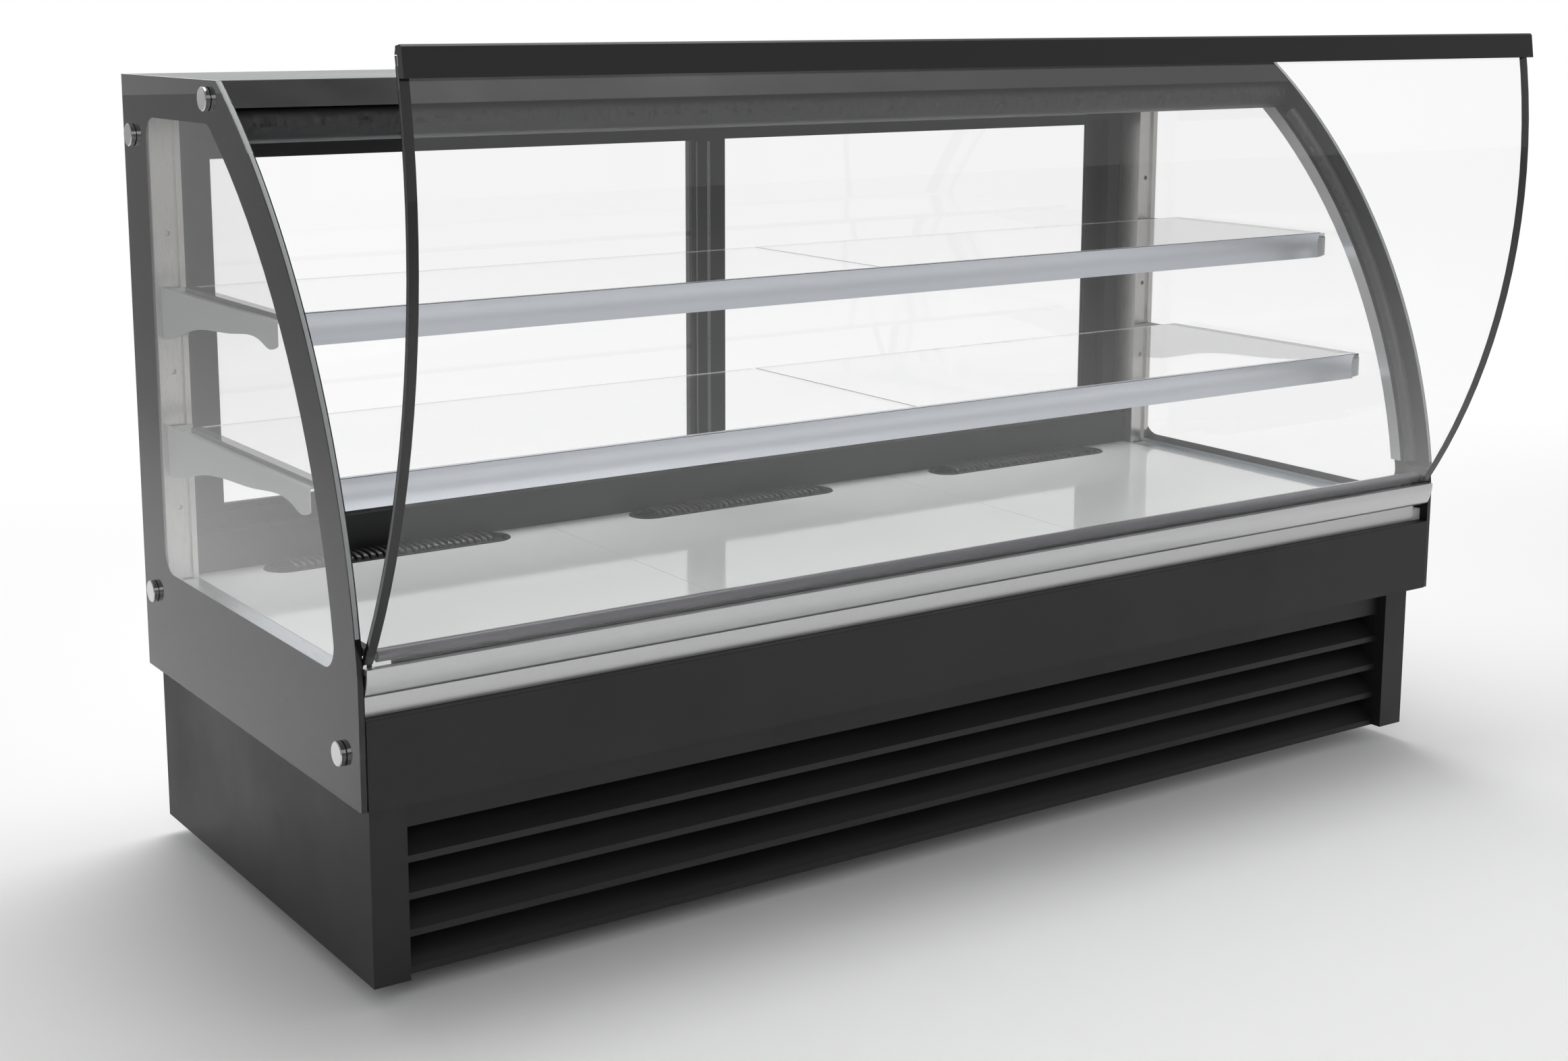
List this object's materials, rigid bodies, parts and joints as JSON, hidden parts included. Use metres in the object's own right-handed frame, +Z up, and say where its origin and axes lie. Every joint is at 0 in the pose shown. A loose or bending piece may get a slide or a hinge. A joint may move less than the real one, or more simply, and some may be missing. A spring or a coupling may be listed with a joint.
{
  "type": "refrigerated display case",
  "caption": "Straight glazed refrigerated display case with tilting curved front glass, inner shelves, cooled deck, sliding rear doors and louvred base.",
  "frame": {"origin": "centre of the bounding box in plan with the front glass open as pictured, at the floor under the feet", "axes": "+X along the length, +Y from the customer side to the staff side, +Z up"},
  "size_m": [2.016, 0.9539, 1.229],
  "materials": {
    "charcoal_paint": "satin powder coat",
    "galvanised_steel": "galvanised",
    "stainless_steel": "fine brushed",
    "polished_steel": "polished",
    "satin_aluminium": "satin anodised",
    "black_aluminium": "black anodised",
    "white_paint": "gloss powder coat",
    "light_grey_paint": "satin powder coat",
    "bluegrey_rail": "satin anodised",
    "black_plastic": "matt moulded",
    "black_rubber": "moulded",
    "grey_seal": "extruded",
    "clear_glass": "polished",
    "black_enamel": "fired enamel on glass",
    "opal_plastic": "opal diffuser",
    "copper_coil": "finned block",
    "compressor_paint": "gloss",
    "foam_core": "sheet over foam"
  },
  "bodies": {
    "case": {"base_frame": "galvanised_steel", "base_side_left": "charcoal_paint", "base_side_right": "charcoal_paint", "louvre_frame": "charcoal_paint", "louvre_blades": "charcoal_paint", "base_rear_grille": "charcoal_paint", "levelling_feet": "black_plastic", "compressor": "compressor_paint", "condenser_coil": "copper_coil", "fan_shroud": "galvanised_steel", "drain_pan": "galvanised_steel", "control_plate": "black_plastic", "insulated_tub": "foam_core", "front_panel": "charcoal_paint", "lower_trim": "satin_aluminium", "front_upstand": "stainless_steel", "hinge_seal": "grey_seal", "hinge_blocks": "black_plastic", "deck_panel_left": "white_paint", "deck_panel_middle": "white_paint", "deck_panel_right": "white_paint", "deck_vents": "black_plastic", "deck_side_strips": "bluegrey_rail", "rear_wall": "charcoal_paint", "evaporator": "copper_coil", "evaporator_fan_plate": "galvanised_steel", "side_glass_left": "clear_glass", "side_glass_right": "clear_glass", "side_enamel": "black_enamel", "glass_fixings": "polished_steel", "arch_frames": "satin_aluminium", "arch_gaskets": "black_rubber", "top_panel": "light_grey_paint", "canopy_beam": "black_aluminium", "top_gasket": "black_rubber", "lamp_housing": "satin_aluminium", "lamp_diffuser": "opal_plastic", "rear_frame_posts": "black_aluminium", "rear_frame_sill": "black_aluminium", "rear_frame_head": "black_aluminium", "uprights": "satin_aluminium", "brackets_upper": "light_grey_paint", "brackets_lower": "light_grey_paint", "shelf_upper": "clear_glass", "shelf_lower": "clear_glass", "rail_upper": "bluegrey_rail", "rail_lower": "bluegrey_rail"},
    "front_glass_unit": {"front_glass": "clear_glass", "glass_borders": "black_enamel", "header_rail": "black_aluminium", "header_seal": "black_rubber", "nose_profile": "satin_aluminium", "hinge_arms": "galvanised_steel"},
    "door_left": {"door_left_frame": "black_aluminium", "door_left_glass": "clear_glass"},
    "door_right": {"door_right_frame": "black_aluminium", "door_right_glass": "clear_glass"},
    "condenser_rotor": {"condenser_fan": "black_plastic"},
    "evaporator_rotor_left": {"evaporator_fan_left": "black_plastic"},
    "evaporator_rotor_right": {"evaporator_fan_right": "black_plastic"}
  },
  "joints": [
    {"name": "front_glass_tilt", "type": "hinge", "parent": "case", "child": "front_glass_unit", "pos_m": [0, -0.3097, 0.4862], "axis": [1, 0, 0], "range_deg": [-39.07, 0]},
    {"name": "door_left_slide", "type": "slide", "parent": "case", "child": "door_left", "axis": [1, 0, 0], "range_m": [0, 0.88]},
    {"name": "door_right_slide", "type": "slide", "parent": "case", "child": "door_right", "axis": [1, 0, 0], "range_m": [-0.88, 0]},
    {"name": "condenser_fan_spin", "type": "hinge", "parent": "case", "child": "condenser_rotor", "pos_m": [0.47, -0.038, 0.149], "axis": [0, 1, 0], "continuous": true},
    {"name": "evaporator_fan_left_spin", "type": "hinge", "parent": "case", "child": "evaporator_rotor_left", "pos_m": [-0.42, 0.154, 0.368], "axis": [0, 1, 0], "continuous": true},
    {"name": "evaporator_fan_right_spin", "type": "hinge", "parent": "case", "child": "evaporator_rotor_right", "pos_m": [0.42, 0.154, 0.368], "axis": [0, 1, 0], "continuous": true}
  ]
}
